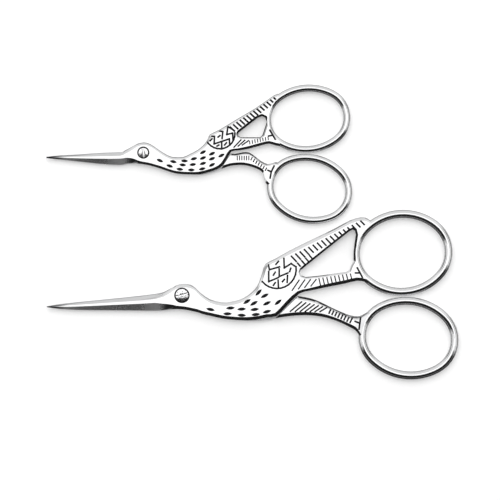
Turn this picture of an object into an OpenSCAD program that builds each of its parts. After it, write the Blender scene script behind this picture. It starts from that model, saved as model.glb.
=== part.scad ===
// Stork embroidery scissors, a set of two sizes that lie closed, side by side, on a table.
// Each pair is two forged halves that cross at a slotted pivot screw. The top half is the stork's
// body, wing and upper finger ring; the under half carries the lower leg and the lower finger ring.

/* [Large pair] */
// From the pivot to the tip of the blades
large_blade_l = 37.5; // [32:0.5:44]
// From the pivot to the middle of the upper finger ring
large_shank_l = 61; // [57:0.5:68]
// How much further the middle of the lower ring lies
large_lower_set = 1.7; // [0:0.1:3]
// Thickness of the closed pair
large_thick = 2.8; // [2.4:0.1:3.6]
// Thickness of one blade at its tip
large_tip_t = 0.5; // [0.3:0.05:0.9]
// Diameter of the wire of the finger rings
large_wire = 2.3; // [1.8:0.05:2.4]
// Length of both finger holes
large_hole_l = 23.4; // [20:0.1:26]
// Height of the upper finger hole
large_upper_h = 19.3; // [17:0.1:21]
// Height of the lower finger hole
large_lower_h = 18.3; // [16:0.1:20]
// Width of the rounding along the edges of the body
large_edge = 1; // [0.5:0.05:1.3]
// Diameter of the pivot screw's shank
large_shank_d = 2; // [1.5:0.1:2.4]
// Diameter of the pivot screw's head
large_head_d = 3.5; // [3:0.1:3.8]

/* [Small pair] */
// From the pivot to the tip of the blades
small_blade_l = 26.9; // [23:0.5:32]
// From the pivot to the middle of the upper finger ring
small_shank_l = 45.4; // [42:0.5:51]
// How much further the middle of the lower ring lies
small_lower_set = 0.6; // [0:0.1:2]
// Thickness of the closed pair
small_thick = 2.4; // [2:0.1:3.2]
// Thickness of one blade at its tip
small_tip_t = 0.4; // [0.25:0.05:0.8]
// Diameter of the wire of the finger rings
small_wire = 2; // [1.6:0.05:2.1]
// Length of both finger holes
small_hole_l = 20; // [17:0.1:22]
// Height of the upper finger hole
small_upper_h = 15; // [13:0.1:17]
// Height of the lower finger hole
small_lower_h = 15.2; // [13:0.1:17]
// Width of the rounding along the edges of the body
small_edge = 0.8; // [0.4:0.05:1.1]
// Diameter of the pivot screw's shank
small_shank_d = 1.6; // [1.2:0.1:1.8]
// Diameter of the pivot screw's head
small_head_d = 2.6; // [2.2:0.1:2.8]

/* [Fits] */
// Air between the inner faces of the two halves
lap_gap = 0.06; // [0.02:0.01:0.12]
// Air between a half and the shoulder of the other half
shoulder_gap = 0.2; // [0.1:0.05:0.4]
// Air between the two finger rings of a closed pair
ring_gap = 0.15; // [0.05:0.05:0.4]
// Radial play of the screw's shank in the top half
pivot_play = 0.03; // [0.02:0.01:0.08]
// Radial air round the screw's head in its counterbore
head_air = 0.4; // [0.2:0.05:0.5]
// Depth of the counterbore under the screw's head
head_seat = 0.75; // [0.5:0.05:0.85]
// How far the middle of the screw's head domes above the body
head_dome = 0.12; // [0.05:0.01:0.3]
// Width of the slot across the screw's head
slot_w = 0.4; // [0.3:0.05:0.7]
// Depth of the slot across the screw's head
slot_depth = 0.4; // [0.2:0.05:0.5]

/* [Ornament] */
// Depth of the feather marks on the body
feather_depth = 0.35; // [0.15:0.05:0.5]
// Depth of the engraved lines
line_depth = 0.2; // [0.1:0.05:0.35]
// Width of the engraved lines
line_w = 0.5; // [0.3:0.05:0.55]
// Length of a feather mark on the large pair
large_feather_l = 2.5; // [1.6:0.1:2.8]
// Width of a feather mark on the large pair
large_feather_w = 0.9; // [0.4:0.05:1]
// Length of a feather mark on the small pair
small_feather_l = 2; // [1.2:0.1:2.2]
// Width of a feather mark on the small pair
small_feather_w = 0.85; // [0.4:0.05:0.9]

/* [Hidden] */
$fn = 48;

// Where the two pivots stand on the table
large_place = [-19.53, -17.52];
small_place = [-30.23, 21.98];

// The lengths at which the outlines below are drawn
large_drawn = [37.5, 61];
small_drawn = [26.9, 45.4];

// Height, from the pivot, of the line on which the two rings of a closed pair meet
large_meet = -0.3;
small_meet = -0.2;

// How the long axis of each ring turns
large_upper_tilt = 4;
large_lower_tilt = -8;
small_upper_tilt = 5;
small_lower_tilt = -13;

// Radius of a ring's round ends, as a share of half its height
ring_end_share = 0.88;

// Where the broad blade begins and where the plain plate of the head begins
large_head = [-7.5, -1.6];
small_head = [-6, -1.4];

// How the slots of the screws stand
large_slot_turn = 15;
small_slot_turn = 97;

// Air under a screw's head, and the width of the peened edge at its other end
under_head = 0.02;
peen = 0.25;

// How far the marks beside the rings start below the face
mark_drop = 0.25;

// How far outside the middle of a ring's wire the body ends
body_end = 0.13;

// How far the corners of that end lie past those of the wire, as a share of their spacing
corner_shift = 0.4;

// How far the rim of the window flares at the faces, and the flare from the middle plane to a face,
// as shares of half the thickness and of that reach
rim_flare = 0.6;
rim_section = [[0, 0], [0.7, 0.1], [0.88, 0.4], [1, 1], [2, 1]];

// The rounded edge of the body, from the middle plane to the flat face, as shares of its width and height,
// and the blunter edge of an under half between its leg and the top half
edge_section = [[0, 0], [0.08, 0.5], [0.35, 0.8], [1, 1]];
inner_edge_section = [[0, 0], [0.36, 0.72], [0.6, 0.9], [1, 1]];

// Past this reach, a cut runs clear of the part
far = 90;

// Steps between two drawn rows of an outline
steps = 2;

// Cross section of a blade, from its spine to its cutting edge, as shares of width and thickness
blade_section = [[0, 0], [0.04, 0.3], [0.27, 0.65], [0.5, 1], [0.72, 1], [0.82, 0.67], [0.92, 0.33], [1, 0]];

silver = [0.82, 0.83, 0.85];
dark_silver = [0.66, 0.67, 0.7];

// Sums that several pieces use
function mix(a, b, s) = a * (1 - s) + b * s;
function within(v) = max(0, min(1, v));
function stretch(p, drawn, blade_l, shank_l) = [p.x * (p.x < 0 ? blade_l / drawn[0] : shank_l / drawn[1]), p.y];
function stretch_row(r, drawn, blade_l, shank_l) = concat(
    stretch([r[0], r[1]], drawn, blade_l, shank_l),
    stretch([r[2], r[3]], drawn, blade_l, shank_l), 1);

// The two ends of a drawn row
function upper_point(row) = [row[0], row[1]];
function lower_point(row) = [row[2], row[3]];

// A point s of the way from b to c, on the smooth curve through a, b, c and d
function curve_point(a, b, c, d, s) = 0.5 * (2 * b + (c - a) * s
    + (2 * a - 5 * b + 4 * c - d) * s * s + (3 * b - a - 3 * c + d) * s * s * s);

// Smooth rows through drawn rows
function smooth_rows(rows) = [
    for (i = [0 : len(rows) - 2])
        for (k = [0 : steps - 1])
            curve_point(rows[max(i - 1, 0)], rows[i], rows[i + 1], rows[min(i + 2, len(rows) - 1)], k / steps),
    rows[len(rows) - 1]];

// A finger ring is an oval of four arcs: half length a, half height b, both to the middle of its wire
function end_r(b) = ring_end_share * b;
function flank_r(a, b) = (pow(a - end_r(b), 2) + b * b - pow(end_r(b), 2)) / (2 * (b - end_r(b)));
function joint_angle(a, b) = atan2(flank_r(a, b) - b, a - end_r(b));
function half_height(a, b, tilt) = flank_r(a, b) - (flank_r(a, b) - b) * cos(tilt);
function turned(p, tilt) = [p.x * cos(tilt) - p.y * sin(tilt), p.x * sin(tilt) + p.y * cos(tilt)];

// A place on or near a ring, as shares of its half length and half height
function by_ring(ring, u, v) = ring[0] + [u * ring[1], v * ring[2]];
function ring_row(ring, r) = concat(by_ring(ring, r[0], r[1]), by_ring(ring, r[2], r[3]), r[4]);

// A ring is its middle, half length, half height and tilt
function make_ring(x, meet, side, hole_l, hole_h, wire, tilt) =
    let (a = (hole_l + wire) / 2, b = (hole_h + wire) / 2)
        [[x, meet + side * (half_height(a, b, tilt) + (wire + ring_gap) / 2)], a, b, tilt];

large_upper_ring = make_ring(large_shank_l, large_meet, 1, large_hole_l, large_upper_h, large_wire,
    large_upper_tilt);
large_lower_ring = make_ring(large_shank_l + large_lower_set, large_meet, -1, large_hole_l, large_lower_h,
    large_wire, large_lower_tilt);
small_upper_ring = make_ring(small_shank_l, small_meet, 1, small_hole_l, small_upper_h, small_wire,
    small_upper_tilt);
small_lower_ring = make_ring(small_shank_l + small_lower_set, small_meet, -1, small_hole_l, small_lower_h,
    small_wire, small_lower_tilt);

// The drawn outlines. Each row is a point of the upper edge and the point of the lower edge facing it,
// from the blade's tip to the ring, measured from the pivot. The rows beside a ring are shares of the
// ring's half length and half height from its middle, and then the share of the thickness left there.
large_top_rows = concat([
    for (r = [
        [-37.5, -3.1, -37.5, -3.3],
        [-33.8, -2.6, -33.8, -3.8],
        [-28.3, -2.0, -28.3, -4.1],
        [-17.2, -0.9, -17.2, -4.2],
        [-7.5, 0.2, -7.5, -4.3],
        [-3.9, 1.5, -3.9, -4.1],
        [-1.7, 2.8, -1.4, -3.9],
        [0.3, 3.2, 1.1, -4.1],
        [2.3, 3.0, 3.0, -4.5],
        [3.7, 2.1, 4.4, -4.8],
        [5.1, 0.7, 5.8, -5.3],
        [7.8, -1.1, 8.0, -5.8],
        [11.1, -1.9, 11.1, -6.5],
        [13.3, -1.8, 13.6, -6.8],
        [16.1, -1.1, 16.6, -7.0],
        [18.0, -0.1, 19.4, -6.9],
        [19.4, 1.0, 21.6, -6.6],
        [20.5, 2.2, 23.8, -6.1],
        [21.3, 3.7, 26.3, -5.7],
        [22.2, 6.4, 29.4, -2.5],
        [23.0, 8.7, 32.7, 0.5],
        [25.8, 10.2, 35.5, 1.2],
        [29.9, 12.5, 38.2, 1.8],
        [36.8, 15.9, 41.6, 2.5],
        [42.4, 18.6, 45.2, 3.2]]) stretch_row(r, large_drawn, large_blade_l, large_shank_l)],
    [for (r = [
        [-1.13, 0.84, -0.97, -0.72, 1],
        [-0.89, 0.92, -0.78, -0.76, 1],
        [-0.74, 0.88, -0.63, -0.87, 0.92],
        [-0.6, 0.72, -0.46, -0.9, 0.7],
        [-0.4, 0.4, -0.3, -0.5, 0.6]]) ring_row(large_upper_ring, r)]);

large_under_rows = concat([
    for (r = [
        [-37.4, -3.0, -37.4, -3.2],
        [-33.8, -2.4, -33.8, -3.5],
        [-28.3, -1.8, -28.3, -3.8],
        [-17.2, -0.7, -17.2, -3.9],
        [-7.5, 0.4, -7.5, -4.0],
        [-4.0, 1.3, -3.9, -3.8],
        [-1.8, 2.4, -1.4, -3.6],
        [0.3, 2.8, 1.1, -3.8],
        [2.1, 2.6, 3.0, -4.2],
        [3.5, 1.7, 4.4, -4.5],
        [4.9, 0.3, 5.8, -5.0],
        [7.7, -1.4, 8.0, -5.6],
        [11.1, -2.2, 11.1, -6.3],
        [13.3, -2.1, 13.6, -6.7],
        [16.2, -1.4, 16.6, -7.0],
        [18.1, -0.5, 19.4, -7.1],
        [19.5, 0.7, 22.2, -7.0],
        [20.9, 2.0, 24.6, -6.7],
        [24.0, 1.7, 27.2, -6.2],
        [28.5, 0.6, 30.0, -5.8],
        [32.7, -0.3, 32.8, -5.6],
        [35.5, -0.8, 35.5, -5.6],
        [38.2, -1.8, 38.8, -6.0],
        [41.0, -3.2, 41.8, -6.8],
        [43.8, -4.5, 44.3, -7.8],
        [46.5, -5.5, 46.5, -8.9]]) stretch_row(r, large_drawn, large_blade_l, large_shank_l)],
    [for (r = [
        [-1.1, 0.59, -1.15, 0.21, 1],
        [-1, 0.62, -1.08, 0.1, 0.88],
        [-0.83, 0.74, -1.02, -0.04, 0.76],
        [-0.65, 0.8, -0.94, -0.15, 0.65],
        [-0.4, 0.5, -0.6, -0.1, 0.6]]) ring_row(large_lower_ring, r)]);

small_top_rows = concat([
    for (r = [
        [-26.9, -1.1, -26.9, -1.5],
        [-23.1, -0.8, -23.1, -1.9],
        [-17.6, -0.6, -17.6, -2.5],
        [-12.0, -0.2, -12.0, -3.1],
        [-6.5, 0.1, -6.5, -3.4],
        [-5.1, 0.7, -4.8, -3.1],
        [-3.7, 1.4, -3.2, -3.0],
        [-1.8, 2.5, -1.5, -3.1],
        [0.1, 2.9, 0.7, -3.4],
        [1.5, 2.6, 2.1, -3.7],
        [2.9, 1.8, 3.5, -4.1],
        [4.6, 0.6, 4.8, -4.5],
        [6.2, -0.4, 6.5, -5.1],
        [7.9, -1.1, 8.4, -5.7],
        [9.6, -1.2, 10.4, -6.0],
        [11.2, -1.1, 12.9, -6.1],
        [12.9, -0.3, 15.7, -6.0],
        [14.3, 0.4, 18.4, -5.3],
        [15.7, 1.3, 20.4, -4.6],
        [17.0, 2.6, 21.9, -3.6],
        [17.9, 4.0, 23.1, -1.8],
        [18.4, 5.1, 24.5, 0.3],
        [21.2, 6.5, 26.7, 0.6],
        [25.3, 9.0, 29.5, 1.1],
        [30.9, 12.3, 32.8, 2.0]]) stretch_row(r, small_drawn, small_blade_l, small_shank_l)],
    [for (r = [
        [-0.94, 0.68, -0.96, -0.82, 1],
        [-0.74, 0.82, -0.79, -0.88, 0.94],
        [-0.6, 0.66, -0.56, -0.88, 0.75],
        [-0.4, 0.4, -0.35, -0.5, 0.6]]) ring_row(small_upper_ring, r)]);

small_under_rows = concat([
    for (r = [
        [-26.8, -1.1, -26.8, -1.4],
        [-23.1, -0.7, -23.1, -1.7],
        [-17.6, -0.4, -17.6, -2.3],
        [-12.0, 0.0, -12.0, -2.9],
        [-6.5, 0.2, -6.5, -3.2],
        [-5.0, 0.5, -4.8, -2.9],
        [-3.5, 1.2, -3.2, -2.8],
        [-1.7, 2.2, -1.5, -2.9],
        [0.1, 2.5, 0.7, -3.2],
        [1.4, 2.2, 2.1, -3.5],
        [2.6, 1.5, 3.5, -3.9],
        [4.3, 0.2, 4.8, -4.3],
        [6.1, -0.7, 6.5, -4.9],
        [7.9, -1.4, 8.4, -5.5],
        [9.6, -1.5, 10.4, -5.9],
        [11.3, -1.4, 12.9, -6.1],
        [13.0, -0.7, 15.7, -6.1],
        [14.5, 0.1, 18.4, -5.6],
        [16.6, 1.1, 20.6, -4.9],
        [19.8, 0.6, 22.6, -4.2],
        [22.6, 0.0, 24.2, -3.7],
        [25.3, -0.3, 26.0, -3.5],
        [27.3, 0.1, 27.8, -3.5],
        [29.2, 0.1, 29.3, -3.8],
        [30.9, -1.0, 30.6, -4.2],
        [32.5, -2.2, 32.0, -4.8]]) stretch_row(r, small_drawn, small_blade_l, small_shank_l)],
    [for (r = [
        [-1.05, 0.8, -1.18, 0.5, 1],
        [-0.92, 0.84, -1.14, 0.3, 0.97],
        [-0.75, 0.84, -1.03, 0.08, 0.85],
        [-0.4, 0.5, -0.6, 0, 0.6]]) ring_row(small_lower_ring, r)]);

// Feather marks on the body: middle and angle of each
large_feathers = [
    [7.9, -3.9, -12], [13.4, -3.5, 4], [12.6, -5.1, 0], [16.5, -3.8, 4], [16.5, -5.5, -2],
    [18.0, -1.7, 32], [19.9, -2.2, 30], [20.1, -3.9, 8], [20.4, -5.3, 6], [21.2, 0.8, 46],
    [22.9, -0.1, 27], [23.5, -2.2, 25], [23.5, -4.5, 15], [26.6, -1.9, 38]];
small_feathers = [
    [4.6, -2.2, -22], [8.3, -2.5, -12], [7.3, -3.7, -18], [11.4, -2.3, -2], [10.9, -3.4, -5],
    [10.1, -4.6, -8], [14.0, -1.7, 15], [13.7, -3.3, 8], [13.3, -4.8, 0], [16.5, 0.1, 28],
    [16.5, -1.5, 22], [16.5, -3.0, 17], [16.3, -4.5, 13], [19.0, -0.3, 25], [19.0, -1.7, 22],
    [19.0, -3.4, 28], [21.6, -0.8, 27]];

// The arc round the panel of scales on the shoulder: its middle, its radius, its first and last angle
large_panel_middle = [26.3, 7.2];
large_panel_r = 5.3;
large_panel_turn = [-140, 8];
small_panel_middle = [21.2, 5.2];
small_panel_r = 4.15;
small_panel_turn = [-152, 3];

// Engraved lines of the panel
large_top_lines = [
    [[23.9, 8.5], [24.2, 7.1], [27.0, 7.9]],
    [[26.9, 7.3], [26.9, 5.2], [29.3, 6.2]],
    [[24.0, 6.6], [24.0, 3.8], [26.6, 4.9]],
    [[28.2, 10.2], [28.3, 7.6], [30.2, 8.8], [31.2, 8.1]],
    [[26.6, 4.2], [26.7, 2.0]],
    [[29.2, 5.5], [29.1, 3.6]],
    [[30.1, 7.5], [29.8, 6.6]],
    [[25.3, 5.6], [25.8, 6.4]],
    [[26.0, 8.6], [26.7, 9.4]],
    [[27.8, 3.8], [28.3, 4.4]],
    [[25.3, 2.8], [25.8, 3.5]]];
small_top_lines = [
    [[19.0, 4.5], [19.7, 4.5], [19.6, 2.4], [23.8, 3.8], [23.9, 2.1]],
    [[21.1, 6.0], [22.0, 5.8], [21.8, 3.9]],
    [[24.5, 6.5], [23.4, 7.2], [23.1, 5.0], [24.7, 5.4], [24.8, 3.7]],
    [[21.7, 3.1], [21.7, 1.0]],
    [[18.5, 3.3], [19.0, 3.8]],
    [[20.7, 4.3], [21.2, 4.7]],
    [[20.4, 1.8], [20.9, 2.1]],
    [[22.5, 2.1], [23.0, 2.7]]];

// The mark engraved beside each ring, where the face falls away towards the wire
large_top_mark = [
    [[48.5, 7.6], [49.9, 5.0]],
    [[48.0, 6.2], [49.2, 6.2]]];
large_under_mark = [
    [[49.4, -6.2], [49.0, -9.3]],
    [[47.9, -7.2], [49.2, -7.7]]];
small_top_mark = [
    [[35.0, 6.2], [36.5, 3.7]],
    [[34.7, 4.6], [35.8, 4.8]]];
small_under_mark = [
    [[36.2, -3.7], [35.4, -5.3], [35.1, -7.0]],
    [[34.5, -4.9], [35.4, -5.3]]];

// Rows of ribs: where the first and the last begin, how many, the reach of the first and the last, and how
// wide they are as a share of an engraved line
large_top_ribs = [
    [[30.3, 10.8], [49.5, 20.5], 17, [1.3, -1.4], [0.9, -0.9], 1],
    [[32.0, 8.9], [35.4, 10.9], 4, [0.7, -0.8], [0.6, -0.7], 1],
    [[30.5, 1.4], [35.7, 2.6], 4, [1.9, 2.8], [1.4, 1.8], 0.75],
    [[37.9, 4.6], [46.6, 5.9], 9, [0.4, -1.7], [0.3, -1.2], 0.7]];
large_under_ribs = [
    [[30.0, -4.4], [38.2, -4.5], 7, [3.1, 2.6], [1.8, 1.1], 0.85],
    [[41.1, -4.0], [47.1, -6.3], 8, [-0.4, -0.9], [-0.6, -1.2], 0.95]];
small_top_ribs = [
    [[24.1, 7.0], [36.2, 15.1], 14, [1.1, -1.0], [0.8, -0.7], 1.1],
    [[25.1, 1.5], [27.4, 2.1], 3, [1.9, 2.0], [1.7, 1.2], 0.8],
    [[29.4, 3.2], [34.5, 4.3], 8, [0.1, -0.8], [0.1, -0.7], 0.6]];
small_under_ribs = [
    [[26.0, -1.0], [29.2, -1.0], 6, [0, -1.0], [0, -1.0], 0.6],
    [[30.1, -1.4], [34.1, -4.3], 7, [-0.3, -0.6], [-0.3, -0.6], 0.7]];

// The window between wing and leg: its corners on the body, then those beside the ring
large_window = concat(
    [for (p = [[45.4, 6.5], [42.4, 6.1], [38.2, 5.5], [34.3, 5.1], [33.1, 5.5], [32.8, 6.4], [33.1, 7.1],
        [33.9, 7.8], [40.0, 12.7], [46.3, 17.7]]) stretch(p, large_drawn, large_blade_l, large_shank_l)],
    [for (p = [[-1.07, 0.6], [-1.02, 0.57], [-1, 0.47], [-1.03, 0.25], [-1.05, 0.02], [-1.05, -0.2],
        [-1.11, -0.32], [-1.15, -0.45]]) by_ring(large_upper_ring, p[0], p[1])]);
small_window = concat(
    [for (p = [[32.4, 4.3], [27.0, 4.3], [26.4, 4.6], [26.2, 5.1], [26.4, 5.6], [31.7, 9.7]])
        stretch(p, small_drawn, small_blade_l, small_shank_l)],
    [for (p = [[-1.14, 0.09], [-1.06, 0.04], [-1.02, -0.1], [-1.13, -0.53]])
        by_ring(small_upper_ring, p[0], p[1])]);

// Half the thickness of a pair at the place x: thin at the tip, full from the head on
function half_thick(x, blade_l, head, tip_t, thick) = x > head[0] ? thick / 2
    : mix(tip_t, thick / 2, pow(within((x + blade_l) / (head[0] + blade_l)), 0.8));

// Half of a cross section, from the lower to the upper edge, as shares of the width and real heights
function plate_section(w, edge, upper_edge, t) = let (e = min(edge / w, 0.4)) [
    for (p = edge_section) [e * p[0], t * p[1]],
    for (i = [3 : -1 : 0]) [1 - e * upper_edge[i][0], t * upper_edge[i][1]]];
function ground_section(t, spine_up) = [
    for (i = [0 : 7]) spine_up ? [1 - blade_section[7 - i][0], blade_section[7 - i][1] * t]
        : [blade_section[i][0], blade_section[i][1] * t]];

// The closed ring of points round one row
function row_ring(r, edge, t, plate, spine_up) =
    let (
        low = [r[2], r[3]],
        across = [r[0], r[1]] - low,
        upper_edge = spine_up ? inner_edge_section : edge_section,
        half = mix(ground_section(t, spine_up), plate_section(norm(across), edge, upper_edge, t), plate))
            [for (p = half) [low.x + across.x * p[0], low.y + across.y * p[0], p[1]],
             for (i = [6 : -1 : 1]) [low.x + across.x * half[i][0], low.y + across.y * half[i][0], -half[i][1]]];

// A solid whose edges follow the rows, about the plane in which the two halves meet
module bar(rows, edge, blade_l, head, tip_t, thick, spine_up) {
    fine = smooth_rows(rows);
    n = 14;
    last = len(fine) - 1;
    points = [for (r = fine)
        let (x = r[0], plate = within((x - head[0]) / (head[1] - head[0])))
            each row_ring(r, edge, r[4] * half_thick(x, blade_l, head, tip_t, thick), plate, spine_up)];
    faces = [
        [for (j = [n - 1 : -1 : 0]) j],
        for (i = [0 : last - 1])
            for (j = [0 : n - 1])
                let (k = (j + 1) % n)
                    each [[i * n + j, (i + 1) * n + k, (i + 1) * n + j], [i * n + j, i * n + k, (i + 1) * n + k]],
        [for (j = [0 : n - 1]) last * n + j]];
    polyhedron(points = points, faces = faces, convexity = 6);
}

// A line once round a ring, so far outside the middle of its wire, as places and outward angles
function ring_line(ring, out, first) =
    let (a = ring[1], b = ring[2], turn = joint_angle(a, b))
        [for (half = [0, 180]) each [
            for (k = [first : 11 + first]) let (v = turn * (k / 6 - 1))
                [turned([a - end_r(b), 0] + (end_r(b) + out) * [cos(v), sin(v)], half), v + half],
            for (k = [first : 15 + first]) let (v = turn + (180 - 2 * turn) * k / 16)
                [turned([0, b - flank_r(a, b)] + (flank_r(a, b) + out) * [cos(v), sin(v)], half), v + half]]];

// The round wire of a finger ring
module ring_wire(ring, wire) {
    path = ring_line(ring, 0, 0);
    sides = 16;
    count = len(path);
    points = [for (p = path)
        for (j = [0 : sides - 1])
            let (out = wire / 2 * cos(360 * j / sides))
                [p[0].x + out * cos(p[1]), p[0].y + out * sin(p[1]), wire / 2 * sin(360 * j / sides)]];
    faces = [for (i = [0 : count - 1])
        for (j = [0 : sides - 1])
            let (m = ((i + 1) % count) * sides, k = (j + 1) % sides)
                each [[i * sides + j, m + k, m + j], [i * sides + j, i * sides + k, m + k]]];
    translate(ring[0])
        rotate([0, 0, ring[3]])
            polyhedron(points = points, faces = faces, convexity = 6);
}

// The space inside a ring, up to where the body ends in its wire, with corners between those of the wire
module ring_space(ring, thick) {
    translate([ring[0].x, ring[0].y, -thick])
        rotate([0, 0, ring[3]])
            linear_extrude(2 * thick)
                polygon([for (p = ring_line(ring, body_end, corner_shift)) p[0]]);
}

// The room that the other half needs beside its edge from one drawn point to another, on one side of that
// edge, above or below the plane of the inner faces
module lap_space(from, to, side, layer) {
    v = to - from;
    translate([from.x, from.y, layer > 0 ? -lap_gap / 2 : lap_gap / 2 - far])
        rotate([0, 0, atan2(v.y, v.x)])
            translate([-far, side > 0 ? -shoulder_gap : shoulder_gap - far, 0])
                cube([2 * far, far, far]);
}

// A window whose rims flare at both faces
module window(outline, thick, flare) {
    n = len(outline);
    outward = [for (i = [0 : n - 1])
        let (v = outline[(i + 1) % n] - outline[(i + n - 1) % n]) [v.y, -v.x] / norm(v)];
    high = len(rim_section) - 1;
    levels = [
        for (i = [high : -1 : 1]) [-thick / 2 * rim_section[i][0], rim_section[i][1]],
        for (i = [0 : high]) [thick / 2 * rim_section[i][0], rim_section[i][1]]];
    last = len(levels) - 1;
    points = [for (l = levels) for (i = [0 : n - 1])
        let (p = outline[i] - outward[i] * flare * l[1]) [p.x, p.y, l[0]]];
    faces = [
        [for (i = [n - 1 : -1 : 0]) i],
        for (l = [0 : last - 1])
            for (i = [0 : n - 1])
                let (k = (i + 1) % n)
                    each [[l * n + i, (l + 1) * n + k, (l + 1) * n + i], [l * n + i, l * n + k, (l + 1) * n + k]],
        [for (i = [0 : n - 1]) last * n + i]];
    polyhedron(points = points, faces = faces, convexity = 4);
}

// Feather marks sunk into a face, pointed at both ends
module feathers(marks, length, width, long, top) {
    r = (length * length + width * width) / (4 * width);
    for (m = marks)
        translate([m[0] * long, m[1], top - feather_depth])
            rotate([0, 0, m[2]])
                intersection() {
                    translate([0, r - width / 2, 0]) cylinder(r = r, h = 2 * feather_depth);
                    translate([0, width / 2 - r, 0]) cylinder(r = r, h = 2 * feather_depth);
                }
}

// One engraved line
module line(from, to, top, width) {
    v = to - from;
    translate([from.x, from.y, top - line_depth])
        rotate([0, 0, atan2(v.y, v.x)])
            translate([-width / 2, -width / 2, 0])
                cube([norm(v) + width, width, 1]);
}

// Bent engraved lines
module lines(paths, long, top) {
    for (path = paths)
        for (i = [1 : len(path) - 1])
            line([path[i - 1].x * long, path[i - 1].y], [path[i].x * long, path[i].y], top, line_w);
}

// Rows of engraved ribs, evenly spaced
module ribs(rows, long, top) {
    for (r = rows)
        for (k = [0 : r[2] - 1]) {
            s = k / (r[2] - 1);
            p = mix(r[0], r[1], s);
            q = p + mix(r[3], r[4], s);
            line([p.x * long, p.y], [q.x * long, q.y], top, line_w * r[5]);
        }
}

// The engraved arc round the panel of scales
module panel_edge(middle, r, turn, long, top) {
    parts = 12;
    arc = [for (k = [0 : parts])
        let (angle = mix(turn[0], turn[1], k / parts)) middle + r * [cos(angle), sin(angle)]];
    lines([arc], long, top);
}

// A half as forged in one piece: its bar and its ring, pressed to the thickness of the pair
module forging(rows, ring, wire, edge, blade_l, head, tip_t, thick, spine_up) {
    difference() {
        bar(rows, edge, blade_l, head, tip_t, thick, spine_up);
        ring_space(ring, thick);
    }
    ring_wire(ring, wire);
}

// What the screw needs in the top half: a running bore and a counterbore for its head
module screw_room(shank_d, head_d, thick) {
    translate([0, 0, -thick]) cylinder(d = shank_d + 2 * pivot_play, h = 2 * thick);
    translate([0, 0, thick / 2 - head_seat]) cylinder(d = head_d + 2 * head_air, h = thick);
}

// The screw below its head: it fills the bore of the under half and is peened flush with its face
module screw_shank(shank_d, thick, over) {
    translate([0, 0, -thick / 2 - over]) cylinder(d = shank_d, h = thick - head_seat + under_head + over);
    translate([0, 0, -thick / 2]) cylinder(d1 = shank_d + 2 * peen, d2 = shank_d, h = peen);
}

// A slotted screw with a low domed head
module pivot_screw(shank_d, head_d, thick, turn) {
    dome_r = (pow(head_d / 2, 2) + head_dome * head_dome) / (2 * head_dome);
    difference() {
        union() {
            screw_shank(shank_d, thick, 0);
            intersection() {
                translate([0, 0, thick / 2 - head_seat + under_head]) cylinder(d = head_d, h = head_seat + 1);
                translate([0, 0, thick / 2 + head_dome - dome_r]) sphere(r = dome_r);
            }
        }
        translate([0, 0, thick / 2 - slot_depth + 1])
            rotate([0, 0, turn])
                cube([head_d + 1, slot_w, 2], center = true);
    }
}

module large_top_half() {
    long = large_shank_l / large_drawn[1];
    top = large_thick / 2;
    color(silver)
        translate([large_place.x, large_place.y, top])
            difference() {
                resize([0, 0, large_thick])
                    difference() {
                        forging(large_top_rows, large_upper_ring, large_wire, large_edge, large_blade_l,
                            large_head, large_tip_t, large_thick, false);
                        lap_space(upper_point(large_under_rows[18]), upper_point(large_under_rows[20]), -1, -1);
                        window(large_window, large_thick, rim_flare);
                        lines(large_top_lines, long, top);
                        lines(large_top_mark, long, top - mark_drop);
                        ribs(large_top_ribs, long, top);
                        panel_edge(large_panel_middle, large_panel_r, large_panel_turn, long, top);
                    }
                feathers(large_feathers, large_feather_l, large_feather_w, long, top);
                screw_room(large_shank_d, large_head_d, large_thick);
            }
}

module large_under_half() {
    long = large_shank_l / large_drawn[1];
    top = large_thick / 2;
    color(silver)
        translate([large_place.x, large_place.y, top])
            difference() {
                resize([0, 0, large_thick])
                    difference() {
                        forging(large_under_rows, large_lower_ring, large_wire, large_edge, large_blade_l,
                            large_head, large_tip_t, large_thick, true);
                        lap_space(lower_point(large_top_rows[18]), lower_point(large_top_rows[20]), 1, 1);
                        lines(large_under_mark, long, top - mark_drop);
                        ribs(large_under_ribs, long, top);
                    }
                screw_shank(large_shank_d, large_thick, 1);
            }
}

module large_pivot_screw() {
    color(dark_silver)
        translate([large_place.x, large_place.y, large_thick / 2])
            pivot_screw(large_shank_d, large_head_d, large_thick, large_slot_turn);
}

module small_top_half() {
    long = small_shank_l / small_drawn[1];
    top = small_thick / 2;
    color(silver)
        translate([small_place.x, small_place.y, top])
            difference() {
                resize([0, 0, small_thick])
                    difference() {
                        forging(small_top_rows, small_upper_ring, small_wire, small_edge, small_blade_l,
                            small_head, small_tip_t, small_thick, false);
                        lap_space(upper_point(small_under_rows[19]), upper_point(small_under_rows[21]), -1, -1);
                        window(small_window, small_thick, rim_flare);
                        lines(small_top_lines, long, top);
                        lines(small_top_mark, long, top - mark_drop);
                        ribs(small_top_ribs, long, top);
                        panel_edge(small_panel_middle, small_panel_r, small_panel_turn, long, top);
                    }
                feathers(small_feathers, small_feather_l, small_feather_w, long, top);
                screw_room(small_shank_d, small_head_d, small_thick);
            }
}

module small_under_half() {
    long = small_shank_l / small_drawn[1];
    top = small_thick / 2;
    color(silver)
        translate([small_place.x, small_place.y, top])
            difference() {
                resize([0, 0, small_thick])
                    difference() {
                        forging(small_under_rows, small_lower_ring, small_wire, small_edge, small_blade_l,
                            small_head, small_tip_t, small_thick, true);
                        lap_space(lower_point(small_top_rows[19]), lower_point(small_top_rows[21]), 1, 1);
                        lines(small_under_mark, long, top - mark_drop);
                        ribs(small_under_ribs, long, top);
                    }
                screw_shank(small_shank_d, small_thick, 1);
            }
}

module small_pivot_screw() {
    color(dark_silver)
        translate([small_place.x, small_place.y, small_thick / 2])
            pivot_screw(small_shank_d, small_head_d, small_thick, small_slot_turn);
}

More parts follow.
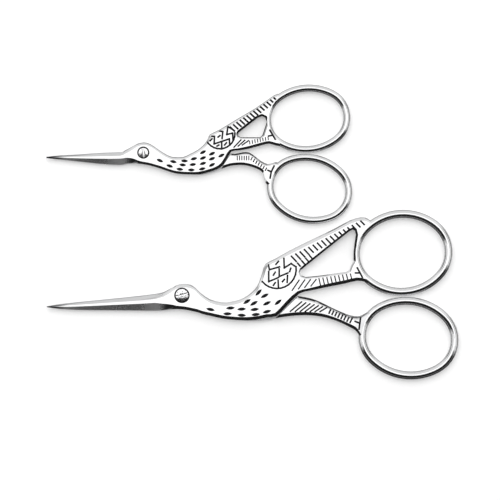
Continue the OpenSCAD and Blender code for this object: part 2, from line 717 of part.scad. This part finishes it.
large_top_half();
large_under_half();
large_pivot_screw();
small_top_half();
small_under_half();
small_pivot_screw();
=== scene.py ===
from math import atan2, cos, radians
import bmesh
import bpy
from mathutils import Matrix, Vector


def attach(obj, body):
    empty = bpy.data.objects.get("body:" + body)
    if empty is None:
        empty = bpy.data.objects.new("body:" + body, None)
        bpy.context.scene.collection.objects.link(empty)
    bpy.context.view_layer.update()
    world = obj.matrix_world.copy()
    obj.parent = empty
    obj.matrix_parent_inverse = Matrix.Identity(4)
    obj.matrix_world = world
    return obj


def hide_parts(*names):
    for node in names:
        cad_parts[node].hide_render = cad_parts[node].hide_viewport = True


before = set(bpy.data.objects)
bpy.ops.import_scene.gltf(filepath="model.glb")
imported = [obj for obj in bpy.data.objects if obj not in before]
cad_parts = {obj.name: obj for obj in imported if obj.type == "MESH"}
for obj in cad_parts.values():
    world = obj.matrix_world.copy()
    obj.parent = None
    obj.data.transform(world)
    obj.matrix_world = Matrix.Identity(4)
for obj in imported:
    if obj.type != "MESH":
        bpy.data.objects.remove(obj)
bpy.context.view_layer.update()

MM = 0.001

# The studio
# The scissors lie on a plain white table and are photographed from straight above with a long lens.
# A white panel hangs overhead, and pale card stands behind and beside the table. A black card in front
# of it draws the dark lines in the polished steel.


class Wired:
    """One socket of a shader, which sums and products can be written with."""

    def __init__(self, book, socket):
        self.book = book
        self.socket = socket

    def calculate(self, operation, *terms):
        return self.book.add("ShaderNodeMath", {"operation": operation}, dict(enumerate(terms)))

    def __add__(self, other):
        return self.calculate("ADD", self, other)

    def __radd__(self, other):
        return self.calculate("ADD", other, self)

    def __sub__(self, other):
        return self.calculate("SUBTRACT", self, other)

    def __rsub__(self, other):
        return self.calculate("SUBTRACT", other, self)

    def __mul__(self, other):
        return self.calculate("MULTIPLY", self, other)

    def __rmul__(self, other):
        return self.calculate("MULTIPLY", other, self)

    def __truediv__(self, other):
        return self.calculate("DIVIDE", self, other)

    def __pow__(self, other):
        return self.calculate("POWER", self, other)

    def ramp(self, low, high, start=0.0, end=1.0):
        """Runs smoothly from start to end as this value goes from low to high."""
        return self.book.add("ShaderNodeMapRange", {"interpolation_type": "SMOOTHSTEP"}, {
            "Value": self, "From Min": low, "From Max": high, "To Min": start, "To Max": end})


class ShaderBook:
    """The node tree of one finish or of the studio's light."""

    def __init__(self, owner):
        owner.use_nodes = True
        self.tree = owner.node_tree
        self.tree.nodes.clear()

    def add(self, kind, settings=None, sockets=None, output=0):
        """Adds a node, sets it up, then gives its sockets their values or links."""
        node = self.tree.nodes.new(kind)
        for name, value in (settings or {}).items():
            setattr(node, name, value)
        for name, value in (sockets or {}).items():
            if isinstance(value, Wired):
                self.tree.links.new(value.socket, node.inputs[name])
            else:
                node.inputs[name].default_value = value
        return Wired(self, node.outputs[output] if len(node.outputs) else None)

    def blend(self, factor, first, second):
        return self.add("ShaderNodeMix", {"data_type": "RGBA"}, {0: factor, 6: first, 7: second}, output=2)

    def parts(self, vector):
        return [self.add("ShaderNodeSeparateXYZ", sockets={0: vector}, output=i) for i in range(3)]


# The room as polished steel sees it, and plain white to the camera
room = bpy.data.worlds.new("studio_room")
bpy.context.scene.world = room
book = ShaderBook(room)
east, north, up = book.parts(book.add("ShaderNodeTexCoord", output="Generated"))
level = (east * east + north * north + 1e-6) ** 0.5
to_front = north / level
to_side = east / level * (east / level)
# the panel overhead reaches a little further to the sides than to the front
overhead = (up * 0.99 + north * 0.18 + east * east * 0.35).ramp(0.968, 0.982)
# two dark battens stand at either side, and the table's edge shows below the cards
outer_line = up.ramp(0.54, 0.6) * up.ramp(0.76, 0.84, 1.0, 0.0)
inner_line = up.ramp(-0.34, -0.2) * up.ramp(0.25, 0.36, 1.0, 0.0)
side_line = (inner_line + 0.7 * outer_line) * to_side.ramp(0.4, 0.8)
table_edge = up.ramp(-0.95, -0.85) * up.ramp(-0.5, -0.4, 1.0, 0.0)
pale_card = 0.66 + 0.12 * up.ramp(-0.4, 0.9) + 0.3 * to_side
pale_card = pale_card * (1.0 - 0.9 * side_line) * (1.0 - 0.6 * table_edge)
# the black card is in two parts, and a grey gap shows between them
black_card = to_front.ramp(-0.5, -0.28, 1.0, 0.0) * up.ramp(-0.68, -0.52)
gap_in_card = up.ramp(0.1, 0.22) * up.ramp(0.32, 0.44, 1.0, 0.0)
seen = pale_card * (1.0 - black_card) + black_card * (0.014 + 0.16 * gap_in_card)
seen = seen * (1.0 - overhead) + overhead * 1.25
to_lens = book.add("ShaderNodeLightPath", output="Is Camera Ray")
seen = seen * (1.0 - to_lens) + to_lens
book.add("ShaderNodeOutputWorld", sockets={"Surface": book.add("ShaderNodeBackground", sockets={
    "Color": (1, 1, 1, 1), "Strength": seen})})

# The table keeps a soft shadow
sheet = bmesh.new()
bmesh.ops.create_grid(sheet, x_segments=1, y_segments=1, size=1.5)
table_mesh = bpy.data.meshes.new("table")
sheet.to_mesh(table_mesh)
table = bpy.data.objects.new("table", table_mesh)
bpy.context.scene.collection.objects.link(table)
white_table = bpy.data.materials.new("white_table")
book = ShaderBook(white_table)
mottle = book.add("ShaderNodeTexNoise", sockets={
    "Vector": book.add("ShaderNodeTexCoord", output="Object"), "Scale": 40.0, "Detail": 2.0})
glow = book.add("ShaderNodeLightPath", output="Is Camera Ray") * 0.35
book.add("ShaderNodeOutputMaterial", sockets={"Surface": book.add("ShaderNodeAddShader", sockets={
    0: book.add("ShaderNodeBsdfDiffuse", sockets={
        "Color": book.blend(mottle, (0.69, 0.69, 0.69, 1), (0.71, 0.71, 0.71, 1))}),
    1: book.add("ShaderNodeEmission", sockets={"Color": (1, 1, 1, 1), "Strength": glow})})})
table_mesh.materials.append(white_table)
table.visible_glossy = False

# A soft lamp behind the scissors, which the steel doesn't mirror
lamp = bpy.data.lights.new("soft_lamp", "SUN")
lamp.energy = 1.7
lamp.angle = radians(60)
lamp_stand = bpy.data.objects.new("soft_lamp", lamp)
lamp_stand.rotation_euler = (radians(-28), radians(-6), 0)
lamp_stand.visible_glossy = False
bpy.context.scene.collection.objects.link(lamp_stand)

# The lens looks straight down, and the photograph covers view_width on the table
view_width = 138.5 * MM
view_middle = (-0.706 * MM, -4.97 * MM)
mid_height = 1.6 * MM
lens = bpy.data.cameras.new("long_lens")
lens.lens = 200
lens.sensor_width = 36
lens.clip_start = 0.01
camera = bpy.data.objects.new("long_lens", lens)
camera.location = (*view_middle, view_width * lens.lens / lens.sensor_width + mid_height)
bpy.context.scene.collection.objects.link(camera)
bpy.context.scene.camera = camera
bpy.context.scene.view_settings.view_transform = "Standard"

# Large pair, lower half
# The lower half of the large pair is one steel forging: blade, the head hidden under the other half,
# lower leg and finger ring. It is ground, polished and chromed, with its ribs left dark.


def polished_steel(name, blade_from, tip):
    """Chromed and polished forging. Left of blade_from its blade is ground across, and its colour darkens
    almost to black towards its tip.
    """
    steel = bpy.data.materials.new(name)
    book = ShaderBook(steel)
    place = book.add("ShaderNodeTexCoord", output="Object")
    along = book.parts(place)[0]
    facing = book.parts(book.add("ShaderNodeTexCoord", output="Normal"))[1]
    blade = along.ramp(blade_from - 2 * MM, blade_from + 1 * MM, 1.0, 0.0)
    blade = blade * facing.ramp(-0.3, -0.15, 1.0, 0.0)
    # the colour darkens almost to black towards the tip
    darkened_tip = along.ramp(tip + 1 * MM, tip + 6 * MM, 1.0, 0.0)
    waves = book.add("ShaderNodeTexNoise", sockets={"Vector": place, "Scale": 260.0, "Detail": 1.0})
    buffing = book.add("ShaderNodeTexNoise", sockets={
        "Vector": book.add("ShaderNodeMapping", sockets={
            "Vector": place, "Scale": (900.0, 5200.0, 2600.0)}),
        "Scale": 1.0, "Detail": 3.0})
    grinding = book.add("ShaderNodeTexNoise", sockets={
        "Vector": book.add("ShaderNodeMapping", sockets={"Vector": place, "Scale": (5200.0, 260.0, 260.0)}),
        "Scale": 1.0, "Detail": 4.0})
    handling = book.add("ShaderNodeTexNoise", sockets={"Vector": place, "Scale": 110.0, "Detail": 5.0})
    marks = handling.ramp(0.45, 0.72)
    tone = book.blend(marks * 0.35 + buffing * 0.25, (0.92, 0.922, 0.928, 1), (0.84, 0.845, 0.855, 1))
    tone = book.blend(blade * grinding, tone, (0.72, 0.72, 0.725, 1))
    tone = book.blend(darkened_tip, tone, (0.05, 0.05, 0.055, 1))
    height = waves * 0.5 + buffing * (0.012 + 0.03 * marks) + grinding * blade * 0.07
    dulled = blade * along.ramp(blade_from - 8 * MM, blade_from - 2 * MM)
    rough = 0.045 + 0.06 * marks + 0.03 * buffing + blade * (0.13 + 0.07 * grinding) + 0.1 * dulled
    book.add("ShaderNodeOutputMaterial", sockets={"Surface": book.add("ShaderNodeBsdfPrincipled", sockets={
        "Base Color": tone,
        "Metallic": 1.0 - blade * (0.09 + 0.05 * grinding) - 0.12 * dulled,
        "Roughness": rough,
        "Normal": book.add("ShaderNodeBump", sockets={
            "Strength": 0.25, "Distance": 0.00004, "Height": height})})})
    return steel


def oxide_and_shade_steel(name):
    """What lies in the sunk marks: dark oxide that the polishing wheel didn't reach. The same finish paints
    shade and dark reflection on window rims, a stretch of upper edge, the screw seats and the slot walls.
    """
    oxide = bpy.data.materials.new(name)
    book = ShaderBook(oxide)
    place = book.add("ShaderNodeTexCoord", output="Object")
    grains = book.add("ShaderNodeTexNoise", sockets={"Vector": place, "Scale": 7000.0, "Detail": 3.0})
    worn = book.add("ShaderNodeTexNoise", sockets={"Vector": place, "Scale": 1500.0, "Detail": 2.0})
    worn = worn.ramp(0.5, 0.8)
    tone = book.blend(worn * 0.4 + grains * 0.2, (0.007, 0.007, 0.008, 1), (0.06, 0.06, 0.065, 1))
    book.add("ShaderNodeOutputMaterial", sockets={"Surface": book.add("ShaderNodeBsdfPrincipled", sockets={
        "Base Color": tone,
        "Metallic": 0.5 + 0.3 * worn,
        "Roughness": 0.4 + 0.25 * grains,
        "Specular IOR Level": 0.25,
        "Normal": book.add("ShaderNodeBump", sockets={
            "Strength": 0.4, "Distance": 0.00003, "Height": grains})})})
    return oxide


def ground_steel(name):
    """The inner faces that slide on each other, ground flat on a stone: fine straight scratches across."""
    flat = bpy.data.materials.new(name)
    book = ShaderBook(flat)
    place = book.add("ShaderNodeTexCoord", output="Object")
    scratches = book.add("ShaderNodeTexNoise", sockets={
        "Vector": book.add("ShaderNodeMapping", sockets={"Vector": place, "Scale": (4200.0, 180.0, 180.0)}),
        "Scale": 1.0, "Detail": 4.0})
    worn = book.add("ShaderNodeTexNoise", sockets={"Vector": place, "Scale": 140.0, "Detail": 3.0})
    worn = worn.ramp(0.5, 0.75)
    tone = book.blend(scratches * 0.8 + worn * 0.2, (0.42, 0.422, 0.43, 1), (0.72, 0.722, 0.73, 1))
    book.add("ShaderNodeOutputMaterial", sockets={"Surface": book.add("ShaderNodeBsdfPrincipled", sockets={
        "Base Color": tone,
        "Metallic": 0.9,
        "Roughness": 0.34 + 0.16 * scratches - 0.1 * worn,
        "Normal": book.add("ShaderNodeBump", sockets={
            "Strength": 0.3, "Distance": 0.00003, "Height": scratches})})})
    return flat


ring_gap = 0.15
end_share = 0.88


class FingerRing:
    """A finger ring: round wire bent to an oval of four arcs. It stands past the pivot by reach, on the
    upper or lower side, 1 or -1, of where a pair's two rings meet, and is turned by its tilt."""

    def __init__(self, pivot, thick, reach, meet, side, hole, wire, tilt):
        half_length = (hole[0] + wire) / 2
        half_height = (hole[1] + wire) / 2
        end = end_share * half_height
        flank = ((half_length - end) ** 2 + half_height ** 2 - end ** 2) / (2 * (half_height - end))
        rise = flank - (flank - half_height) * cos(radians(tilt))
        across = meet + side * (rise + (wire + ring_gap) / 2)
        middle = Vector((pivot[0] + reach, pivot[1] + across, thick / 2))
        self.level = Matrix.Rotation(-radians(tilt), 4, "Z") @ Matrix.Translation(-middle * MM)
        self.wire = wire * MM
        self.end = end * MM
        self.end_middle = Vector(((half_length - end) * MM, 0, 0))
        self.flank = flank * MM
        self.flank_middle = Vector((0, (half_height - flank) * MM, 0))
        self.turn = atan2(flank - half_height, half_length - end)

    def from_wire(self, co):
        """The way to a place from the nearest spot on the wire's middle line."""
        spot = self.level @ co
        side = Vector((1 if spot.x > 0 else -1, 1 if spot.y > 0 else -1, 0))
        quarter = Vector((abs(spot.x), abs(spot.y), 0))
        at_end = atan2(quarter.y, quarter.x - self.end_middle.x) < self.turn
        out = quarter - (self.end_middle if at_end else self.flank_middle)
        out = (out - out.normalized() * (self.end if at_end else self.flank)) * side
        return self.level.to_3x3().transposed() @ (out + Vector((0, 0, spot.z)))

    def holds(self, face):
        """Whether a face lies on the wire's round surface."""
        return all(abs(self.from_wire(vert.co).length - self.wire / 2) < 0.05 * MM for vert in face.verts)


polished, dark, ground = range(3)


def painted_dark_rim(face, ring, window):
    """Whether a face is a rim of the window that is painted dark, as painted dark reflection. window is its
    lower left and upper right corner, and the flatness below which its rims are dark on every side."""
    low_corner, high_corner, flattest = window
    spot = face.calc_center_median().xy / MM
    in_frame = low_corner[0] < spot.x < high_corner[0] and low_corner[1] < spot.y < high_corner[1]
    inward = ((Vector(low_corner) + Vector(high_corner)) / 2 - spot).dot(face.normal.xy) > 0
    if not in_frame or not inward or ring.holds(face):
        return False
    flatness = abs(face.normal.z)
    looks = face.normal.xy.normalized()
    # rims that look down or to the left, and every rim steeper than flattest, are painted dark: painted
    # dark reflection
    turned_away = looks.y < -0.4 or looks.x < -0.5 and looks.y < 0.3
    return turned_away and flatness < 0.95 or flatness < flattest


def finish_of(face, ring, thick, depths, seat, shade_painted_edge, window):
    """A face is polished; dark in its sunk marks, where oxide stays, and on some rims, edges and the
    screw's seat, where the dark is painted shade; or ground flat to slide.
    """
    heights = [vert.co.z / MM for vert in face.verts]
    low = min(heights)
    flatness = abs(face.normal.z)
    along = face.calc_center_median().x / MM
    if window and painted_dark_rim(face, ring, window):
        return dark
    # a stretch of upper edge that looks back is painted dark: painted shade
    if shade_painted_edge and shade_painted_edge[0] < along < shade_painted_edge[1] and face.normal.y > 0.5 and flatness < 0.6:
        return dark
    # the walls and floor of the screw's counterbore are painted dark: painted shadow round the head
    if seat and all((vert.co.xy / MM - Vector(seat[0])).length < seat[1] for vert in face.verts):
        painted_seat_shadow = low > thick - 0.8 and (flatness < 0.2 or low < thick - 0.7)
        return dark if painted_seat_shadow else polished
    is_floor = max(heights) - low < 0.005 and face.normal.z > 0.99
    for depth in depths:
        if abs(low - (thick - depth)) < 0.02 and (is_floor or flatness < 0.03):
            return dark
    return ground if flatness > 0.99 and abs(low - thick / 2) < 0.1 else polished


def forged_half(name, node, body, ring, thick, depths, finishes, seat=None, shade_painted_edge=None, window=None):
    """A half as it leaves the polishing wheel, in millimetres. depths are those of its marks, seat is the
    middle and radius of the screw's seat, shade_painted_edge is the stretch of upper edge that is painted
    dark as painted shade, and window is as painted_dark_rim takes it."""
    forging = bmesh.new()
    forging.from_mesh(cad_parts[node].data)
    bmesh.ops.remove_doubles(forging, verts=forging.verts, dist=1e-7)
    for face in forging.faces:
        face.material_index = finish_of(face, ring, thick, depths, seat, shade_painted_edge, window)
    areas = {face: face.calc_area() for face in forging.faces}
    normals = []
    for face in forging.faces:
        on_wire = ring.holds(face)
        for corner in face.loops:
            smooth = sum((other.normal * areas[other] for other in corner.vert.link_faces
                          if other.normal.dot(face.normal) > cos(radians(15))), face.normal * 1e-12)
            normals.append((ring.from_wire(corner.vert.co) if on_wire else smooth).normalized())
    mesh = bpy.data.meshes.new(name)
    forging.to_mesh(mesh)
    for finish in finishes:
        mesh.materials.append(finish)
    mesh.shade_smooth()
    mesh.normals_split_custom_set(normals)
    half = bpy.data.objects.new(name, mesh)
    bpy.context.scene.collection.objects.link(half)
    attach(half, body)
    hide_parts(node)


tips = -57
line_depth = 0.2
feather_depth = 0.35
edge_line_depth = 0.45
large_thick = 2.8
large_wire = 2.3
large_pivot = (-19.53, -17.52)
large_steel = polished_steel("large_polished_steel", (large_pivot[0] - 5) * MM, tips * MM)
oxide_and_shade_marks = oxide_and_shade_steel("oxide_and_painted_shade")
inner_faces = ground_steel("ground_inner_faces")
large_finishes = (large_steel, oxide_and_shade_marks, inner_faces)
large_lower_ring = FingerRing(large_pivot, large_thick, reach=62.7, meet=-0.3, side=-1,
                              hole=(23.4, 18.3), wire=large_wire, tilt=-8)
forged_half("large_lower_forging", "large_under_half", "large_lower", large_lower_ring, large_thick,
            [line_depth, edge_line_depth], large_finishes, shade_painted_edge=(0, 26))

# Large pair, upper half
# The upper half is the stork that shows: long bill, head round the screw, neck, feathered body, wing and
# leg round the window, and the upper finger ring, all one forging. It turns on its screw.

large_upper_ring = FingerRing(large_pivot, large_thick, reach=61, meet=-0.3, side=1,
                              hole=(23.4, 19.3), wire=large_wire, tilt=4)
forged_half("large_upper_forging", "large_top_half", "large_upper_and_small_lower", large_upper_ring,
            large_thick, [line_depth, feather_depth, edge_line_depth], large_finishes,
            seat=(large_pivot, 2.2), window=((12.5, -13), (31, 1.5), 0))

# Large pair, screw
# The screw is turned from steel, with a low dome and a sawn slot. Its head sits in a counterbore of the
# upper half, and its end is peened into the lower half.


def turned_steel(name, pivot, dark_side_paint):
    """Lathe-turned steel: fine rings round the screw's axis, and a blotchy painted dark reflection on its
    lower side.
    """
    steel = bpy.data.materials.new(name)
    book = ShaderBook(steel)
    place = book.add("ShaderNodeTexCoord", output="Object")
    x, y, _ = book.parts(book.add("ShaderNodeMapping", sockets={
        "Vector": place, "Location": (-pivot[0] * MM, -pivot[1] * MM, 0)}))
    reach = (x * x + y * y) ** 0.5 * 42000.0
    rings = reach.calculate("SINE", reach)
    scuffs = book.add("ShaderNodeTexNoise", sockets={"Vector": place, "Scale": 2200.0, "Detail": 4.0})
    scuffs = scuffs.ramp(0.55, 0.72)
    blots = book.add("ShaderNodeTexNoise", sockets={"Vector": place, "Scale": 1700.0, "Detail": 2.0})
    # painted dark reflection: the head's lower side is darkened in blots
    painted_lower_reflection = blots.ramp(0.44, 0.5) * y.ramp(-1.1 * MM, -0.5 * MM, 1.0, 0.0) * dark_side_paint
    tone = book.blend(scuffs, (0.93, 0.93, 0.94, 1), (0.12, 0.12, 0.125, 1))
    book.add("ShaderNodeOutputMaterial", sockets={"Surface": book.add("ShaderNodeBsdfPrincipled", sockets={
        "Base Color": book.blend(painted_lower_reflection, tone, (0.015, 0.015, 0.016, 1)),
        "Metallic": 1.0 - 0.5 * painted_lower_reflection,
        "Roughness": 0.09 + 0.22 * scuffs,
        "Normal": book.add("ShaderNodeBump", sockets={
            "Strength": 0.35, "Distance": 0.00003, "Height": rings * 0.12 + scuffs * 0.5})})})
    return steel


slot_depth = 0.4


def pivot_screw(name, node, body, pivot, thick, head_d, steel):
    """A screw through a pair of this thickness, in millimetres: the walls of its slot are painted dark, as
    painted shade.
    """
    turned = bmesh.new()
    turned.from_mesh(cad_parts[node].data)
    bmesh.ops.remove_doubles(turned, verts=turned.verts, dist=1e-7)
    bmesh.ops.dissolve_limit(turned, angle_limit=radians(0.3), verts=turned.verts, edges=turned.edges)
    for face in turned.faces:
        low = min(vert.co.z for vert in face.verts) / MM
        reach = (face.calc_center_median().xy / MM - Vector(pivot)).length
        in_slot = low > thick - slot_depth - 0.02 and reach < head_d / 2 - 0.1
        # the slot's walls are painted dark: painted shade
        face.material_index = dark if in_slot and abs(face.normal.z) < 0.2 else polished
    mesh = bpy.data.meshes.new(name)
    turned.to_mesh(mesh)
    mesh.materials.append(steel)
    mesh.materials.append(oxide_and_shade_marks)
    mesh.shade_smooth()
    mesh.set_sharp_from_angle(angle=radians(30))
    screw = bpy.data.objects.new(name, mesh)
    bpy.context.scene.collection.objects.link(screw)
    even = screw.modifiers.new("even_shading", "WEIGHTED_NORMAL")
    even.keep_sharp = True
    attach(screw, body)
    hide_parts(node)


pivot_screw("large_slotted_screw", "large_pivot_screw", "large_lower", large_pivot, large_thick, 3.5,
            turned_steel("large_turned_steel", large_pivot, dark_side_paint=1.0))

# Small pair, lower half
# The small pair is forged in the same way from thinner steel. Its lower half carries the lower leg, which
# bends at the knee, and the lower ring.

small_thick = 2.4
small_wire = 2
small_pivot = (-30.23, 21.98)
small_steel = polished_steel("small_polished_steel", (small_pivot[0] - 4) * MM, tips * MM)
small_finishes = (small_steel, oxide_and_shade_marks, inner_faces)
small_lower_ring = FingerRing(small_pivot, small_thick, reach=46, meet=-0.2, side=-1,
                              hole=(20, 15.2), wire=small_wire, tilt=-13)
forged_half("small_lower_forging", "small_under_half", "large_upper_and_small_lower", small_lower_ring,
            small_thick, [line_depth, edge_line_depth], small_finishes, shade_painted_edge=(-14, 1))

# Small pair, upper half
# Its upper half has the same stork with closer feathers, a bolder ladder along the wing and a smaller
# window.

small_upper_ring = FingerRing(small_pivot, small_thick, reach=45.4, meet=-0.2, side=1,
                              hole=(20, 15), wire=small_wire, tilt=5)
forged_half("small_upper_forging", "small_top_half", "small_upper", small_upper_ring, small_thick,
            [line_depth, feather_depth, edge_line_depth], small_finishes,
            seat=(small_pivot, 1.75), window=((-5, 25.8), (7, 33), 0.7))

# Small pair, screw
# Its screw is turned from thinner bar, and its slot stands nearly across the blades.

pivot_screw("small_slotted_screw", "small_pivot_screw", "large_upper_and_small_lower", small_pivot,
            small_thick, 2.6, turned_steel("small_turned_steel", small_pivot, dark_side_paint=0.4))
